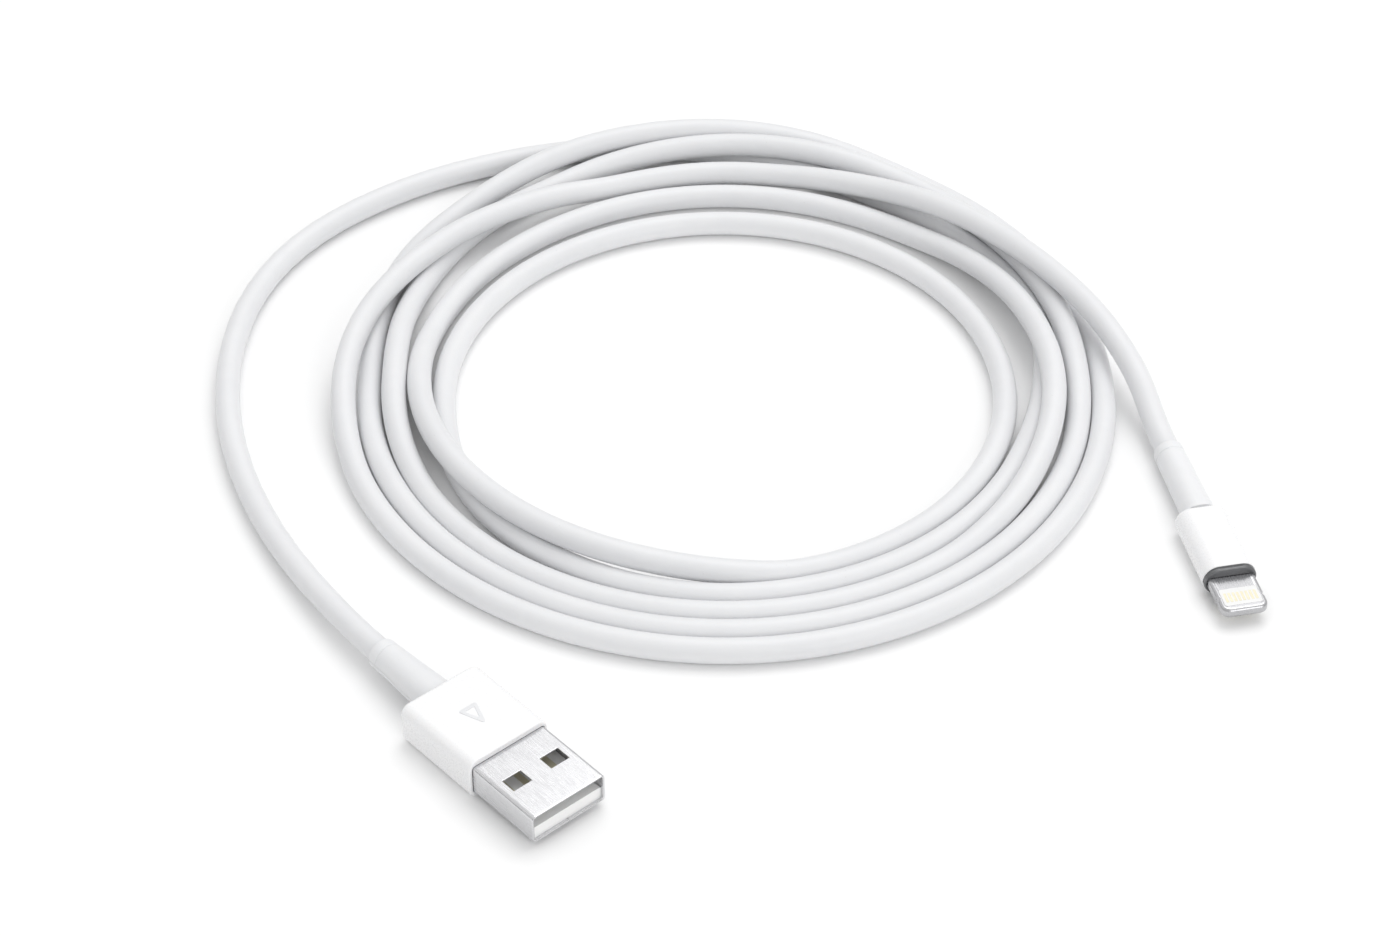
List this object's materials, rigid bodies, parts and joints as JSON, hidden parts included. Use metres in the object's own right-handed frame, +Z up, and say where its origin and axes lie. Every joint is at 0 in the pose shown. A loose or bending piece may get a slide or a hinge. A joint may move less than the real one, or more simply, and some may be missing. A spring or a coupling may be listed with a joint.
{
  "type": "charging cable",
  "caption": "Coiled round charging cord with a flat rectangular host plug at one end and a small reversible device plug at the other.",
  "frame": {"origin": "middle of the two plugs' footprint, on the surface that the cable lies on", "axes": "+Z up, +X from the host plug's side towards the device plug's side, +Y towards the back of the coil"},
  "size_m": [0.1482, 0.1552, 0.0072],
  "materials": {
    "cord_jacket": "satin",
    "host_mouldings": "satin",
    "device_mouldings": "satin",
    "strain_relief_rubber": "satin",
    "plated_shell": "brushed",
    "carrier_plastic": "matte",
    "gold_contacts": "polished",
    "contact_block_plastic": "matte",
    "tab_steel": "satin",
    "face_plate_metal": "satin",
    "inner_shield_steel": "satin",
    "crimp_metal": "satin",
    "inner_mould_plastic": "matte",
    "circuit_board": "satin",
    "chip_black": "matte",
    "passive_ceramic": "matte",
    "wire_red": "satin",
    "wire_white": "satin",
    "wire_green": "satin",
    "wire_black": "satin"
  },
  "bodies": {
    "root": {"cord_coil": "cord_jacket", "device_charge_chip": "chip_black", "device_circuit_board": "circuit_board", "device_contact_block": "contact_block_plastic", "device_contacts_lower": "gold_contacts", "device_contacts_upper": "gold_contacts", "device_cord_crimp": "crimp_metal", "device_cord_run": "cord_jacket", "device_face_plate": "face_plate_metal", "device_housing": "device_mouldings", "device_inner_mould": "inner_mould_plastic", "device_passives": "passive_ceramic", "device_shield_lower": "inner_shield_steel", "device_shield_upper": "inner_shield_steel", "device_strain_relief": "strain_relief_rubber", "device_tab_frame": "tab_steel", "device_wire_data_minus": "wire_white", "device_wire_data_plus": "wire_green", "device_wire_ground": "wire_black", "device_wire_power": "wire_red", "host_back_shell_lower": "inner_shield_steel", "host_back_shell_upper": "inner_shield_steel", "host_contact_carrier": "carrier_plastic", "host_contact_data_minus": "gold_contacts", "host_contact_data_plus": "gold_contacts", "host_contact_ground": "gold_contacts", "host_contact_power": "gold_contacts", "host_cord_crimp": "crimp_metal", "host_cord_run": "cord_jacket", "host_cover": "host_mouldings", "host_inner_mould": "inner_mould_plastic", "host_shell": "plated_shell", "host_strain_relief": "strain_relief_rubber", "host_wire_data_minus": "wire_white", "host_wire_data_plus": "wire_green", "host_wire_ground": "wire_black", "host_wire_power": "wire_red"}
  },
  "joints": []
}
